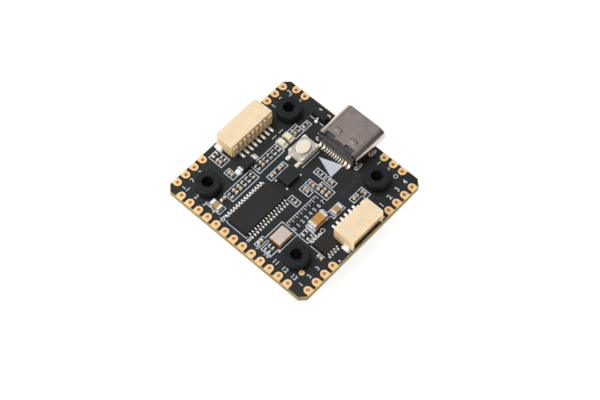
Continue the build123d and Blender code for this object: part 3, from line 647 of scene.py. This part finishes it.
def run_traces(paint):
    """Copper under the mask stands a little proud of the board, with small rings at the vias."""
    low, high = board_top, board_top + trace_height * MM
    pile = Pile()
    for route in trace_routes:
        for first, second in zip(route, route[1:]):
            pile.prism(bar(at(*first), at(*second), trace_width * MM), low, high)
        for bend in route[1:-1]:
            pile.prism(circle(at(*bend), trace_width / 2 * MM, 12), low, high)
    for x, y in via_places:
        pile.ring(at(x, y), via_radius * MM, via_hole * MM, low, high, 16)
    pile.piece("mask_traces", paint, "board_laminate")


def number_pads(paint):
    """Plain running numbers beside the pads, and a small printed rule in the free field."""
    marks = [(str(k + 1), -12.75, 12.5 - 2 * k, -90, 0.85) for k in range(13) if k not in (5, 6)]
    marks += [(str(k + 1), -12.9 + 2 * k, 13.2, 0, 0.8) for k in range(3)]
    marks += [(str(k + 1), 9.13 + 2 * k, 13.2, 0, 0.8) for k in range(3)]
    marks += [(str(k + 1), -12.94 + 2 * k, -13.25, 0, 0.8) for k in range(3)]
    marks += [(str(k + 1), 7.04 + 2 * k, -13.25, 0, 0.9) for k in range(4)]
    marks += [(str(k + 1), 12.8, 12.59 - 2 * k, -90, 0.8) for k in range(2)]
    marks += [(str(k + 1), 12.8, -7.57 - 2 * k, -90, 0.8) for k in range(2)]
    marks += [(str(k), rule_start + k, -5.65, 0, 0.75) for k in range(8)]
    digits("pad_numbers", paint, marks)
    low, high = board_top, board_top + ink_height * MM
    pile = Pile()
    pile.prism(bar(at(rule_start, rule_y), at(rule_start + 7, rule_y), rule_line * MM), low, high)
    for k in range(15):
        tall = 0.8 if k % 2 == 0 else 0.45
        x = rule_start + k / 2
        pile.prism(bar(at(x, rule_y), at(x, rule_y - tall), rule_line * MM), low, high)
    pile.piece("printed_rule", paint, "board_laminate")


# ---------------------------------------------------------------- studio
def make_floor():
    reach, glow = 1.5, 0.72
    corners = [(-reach, -reach, 0), (reach, -reach, 0), (reach, reach, 0), (-reach, reach, 0)]
    mesh = bpy.data.meshes.new("floor")
    mesh.from_pydata(corners, [], [(0, 1, 2, 3)])
    floor = bpy.data.objects.new("floor", mesh)
    bpy.context.scene.collection.objects.link(floor)
    paper = Paint("paper", Roughness=0.9)
    paper.colour(paper.ramp(paper.noise(60.0), (0.3, (0.90, 0.90, 0.90)), (0.7, (0.93, 0.93, 0.93))))
    paper.shader.inputs["Emission Color"].default_value = (1, 1, 1, 1)
    paper.shader.inputs["Emission Strength"].default_value = glow
    mesh.materials.append(paper.material)


def grey_ramp(tree, factor, stops):
    """Grey levels along a value, from (place, level) stops."""
    node = tree.nodes.new("ShaderNodeValToRGB")
    bands = node.color_ramp.elements
    while len(bands) < len(stops):
        bands.new(0.5)
    for band, (place, level) in zip(bands, stops):
        band.position = place
        band.color = (level, level, level, 1)
    tree.links.new(factor, node.inputs["Fac"])
    return node.outputs["Color"]


def make_sky():
    """Soft light all round: palest at the horizon, and dimmer towards -Y."""
    world = bpy.data.worlds.new("studio")
    bpy.context.scene.world = world
    world.use_nodes = True
    tree = world.node_tree
    sky = tree.nodes["Background"]
    place = tree.nodes.new("ShaderNodeTexCoord")
    axes = tree.nodes.new("ShaderNodeSeparateXYZ")
    tree.links.new(place.outputs["Generated"], axes.inputs["Vector"])
    by_height = ((0.0, 1.0), (0.30, 0.62), (0.55, 0.30), (0.8, 0.42), (1.0, 0.42))
    height_level = grey_ramp(tree, axes.outputs["Z"], by_height)
    half = tree.nodes.new("ShaderNodeMath")
    half.operation = "MULTIPLY_ADD"
    half.inputs[1].default_value = 0.5
    half.inputs[2].default_value = 0.5
    tree.links.new(axes.outputs["Y"], half.inputs[0])
    side_level = grey_ramp(tree, half.outputs["Value"], ((0.12, 0.30), (0.42, 1.0)))
    both = tree.nodes.new("ShaderNodeMix")
    both.data_type = "RGBA"
    both.blend_type = "MULTIPLY"
    both.inputs["Factor"].default_value = 1.0
    colours = [socket for socket in both.inputs if socket.type == "RGBA"]
    tree.links.new(height_level, colours[0])
    tree.links.new(side_level, colours[1])
    result = [socket for socket in both.outputs if socket.type == "RGBA"][0]
    tree.links.new(result, sky.inputs["Color"])
    sky.inputs["Strength"].default_value = 1.0


# Square lights that face the origin: name, place in metres, size in metres, power in watts.
studio_lights = (
    ("key", (-0.25, 0.45, 0.75), 0.9, 7.5),
    ("fill", (-0.6, -0.5, 0.5), 0.5, 1.0),
)


def make_studio():
    make_floor()
    bpy.context.scene.view_settings.view_transform = "Standard"
    make_sky()
    for name, place, size, power in studio_lights:
        data = bpy.data.lights.new(name, "AREA")
        data.shape = "SQUARE"
        data.size = size
        data.energy = power
        light = bpy.data.objects.new(name, data)
        bpy.context.scene.collection.objects.link(light)
        light.location = place
        light.rotation_euler = Vector(place).to_track_quat("Z", "Y").to_euler()


make_camera()
make_studio()
paints = make_materials()
dress_nodes(paints)
print_ink(paints["ink"])
number_pads(paints["ink"])
run_traces(paints["trace_mask"])
melt_solder(paints["solder"])
make_dome(paints["dome_steel"])
